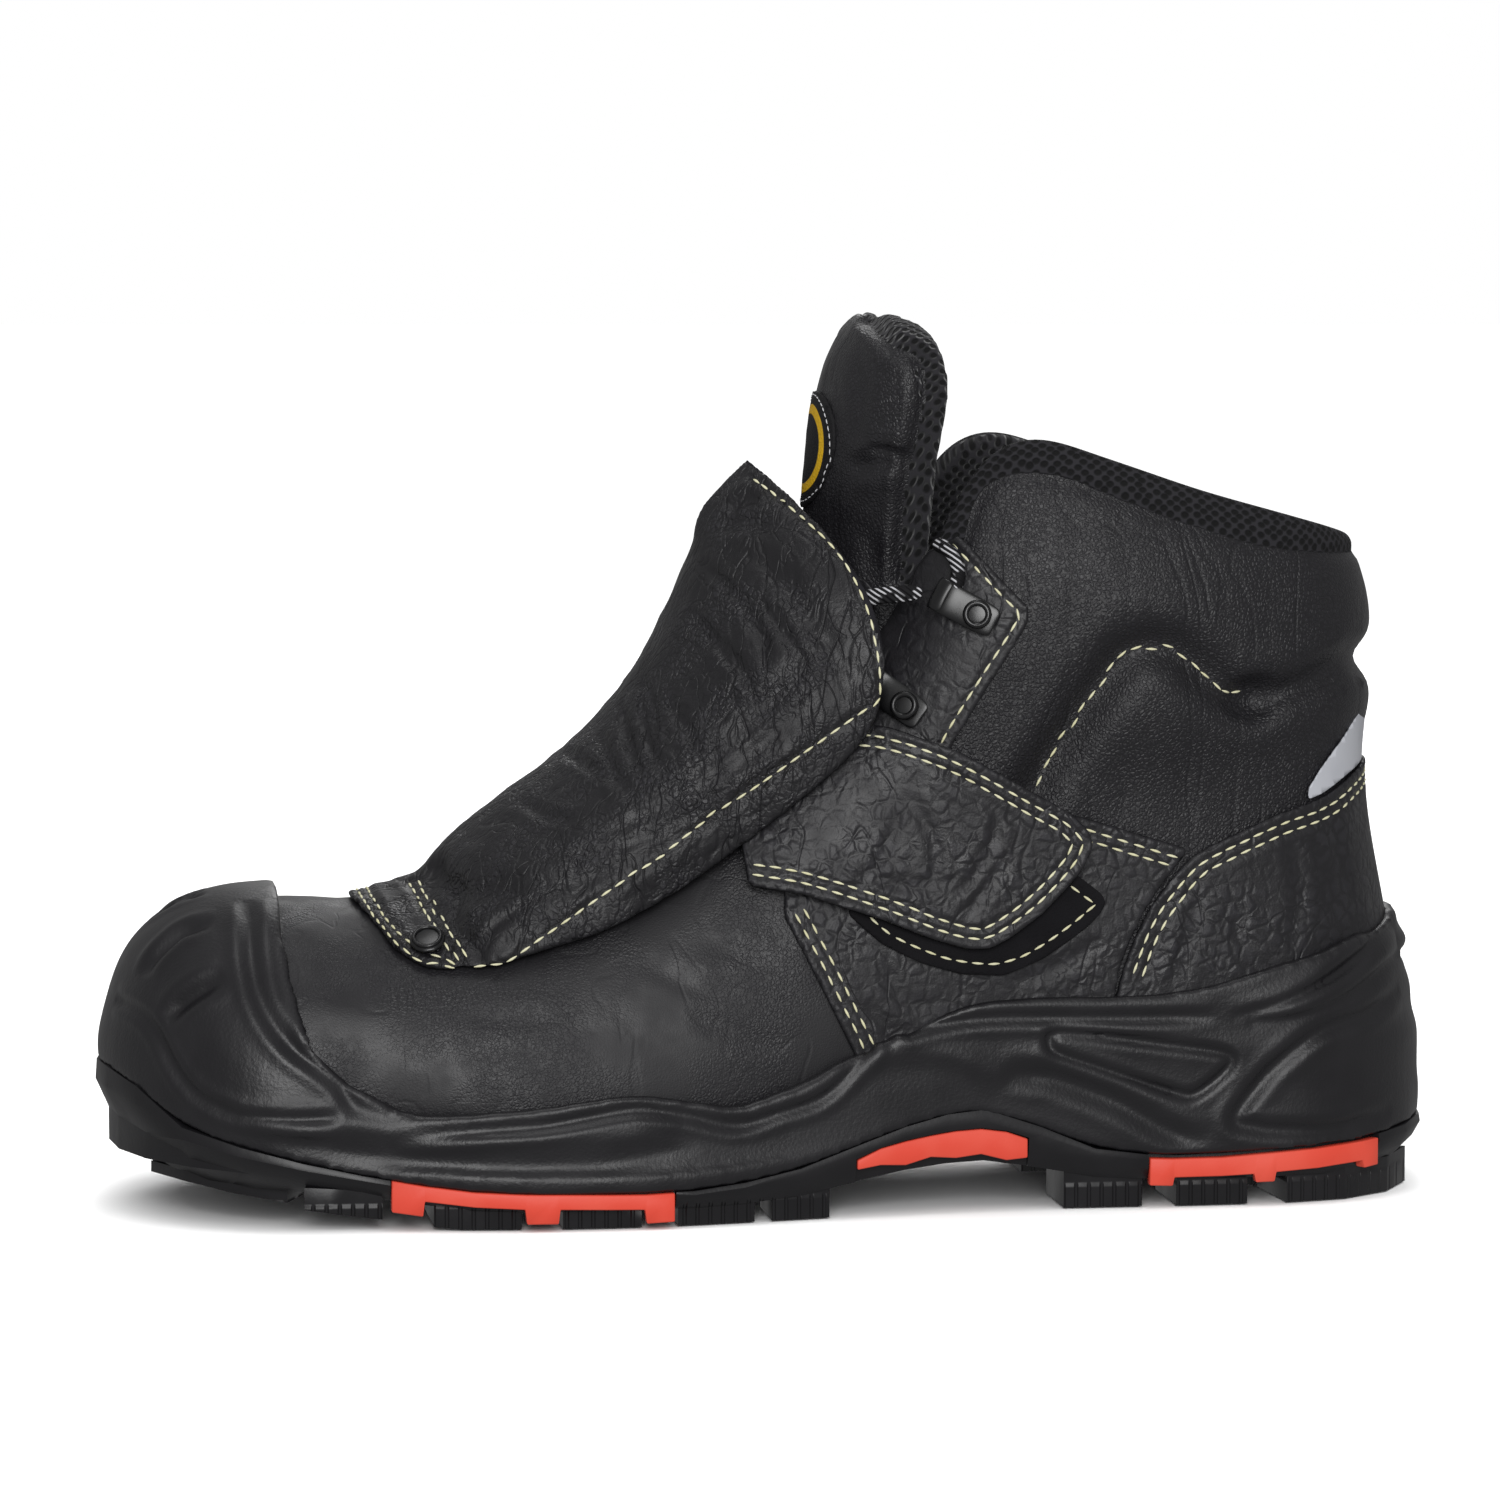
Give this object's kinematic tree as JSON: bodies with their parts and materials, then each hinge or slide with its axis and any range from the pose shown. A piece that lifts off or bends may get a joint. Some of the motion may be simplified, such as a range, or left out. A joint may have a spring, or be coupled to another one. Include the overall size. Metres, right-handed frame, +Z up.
{
  "type": "safety boot with metatarsal guard",
  "caption": "Black leather ankle work boot with a padded collar, lace hooks, an instep guard flap, a closing strap, a foam midsole with toe bumper and a lugged rubber sole with red inserts.",
  "frame": {"origin": "on the floor, under the middle of the heel", "axes": "+X towards the back of the heel and -X towards the toe, -Y towards the outer side of the foot, +Z up"},
  "size_m": [0.3152, 0.1133, 0.2067],
  "materials": {
    "grained_leather": "tumbled grain, matte",
    "smooth_leather": "fine grain, soft sheen",
    "lining_mesh": "spacer mesh, matte",
    "moulded_foam": "moulded, fine stipple",
    "rubber": "satin",
    "red_rubber": "satin",
    "reflective_film": "retroreflective, satin",
    "painted_steel": "satin black",
    "patch_thread": "embroidered",
    "lace_cord": "braided",
    "pile_tape": "looped pile"
  },
  "bodies": {
    "root": {"upper": "smooth_leather", "tongue": "smooth_leather", "guard_flap": "grained_leather", "strap": "grained_leather", "pile_pad": "pile_tape", "quarter_lateral": "grained_leather", "quarter_medial": "grained_leather", "heel_counter": "grained_leather", "heel_reflective_strip": "reflective_film", "eyestay_lateral": "smooth_leather", "eyestay_medial": "smooth_leather", "hook_upper_lateral": "painted_steel", "hook_upper_medial": "painted_steel", "hook_lower_lateral": "painted_steel", "hook_lower_medial": "painted_steel", "hook_rivet_upper_lateral": "painted_steel", "hook_rivet_upper_medial": "painted_steel", "hook_rivet_lower_lateral": "painted_steel", "hook_rivet_lower_medial": "painted_steel", "guard_rivet_lateral": "painted_steel", "guard_rivet_medial": "painted_steel", "lace": "lace_cord", "lace_keeper": "lace_cord", "tongue_patch": "patch_thread", "midsole": "moulded_foam", "outsole": "rubber", "insole": "lining_mesh", "insert_forefoot_lateral": "red_rubber", "insert_forefoot_medial": "red_rubber", "insert_arch_lateral": "red_rubber", "insert_arch_medial": "red_rubber", "insert_heel_lateral": "red_rubber", "insert_heel_medial": "red_rubber"}
  },
  "joints": []
}
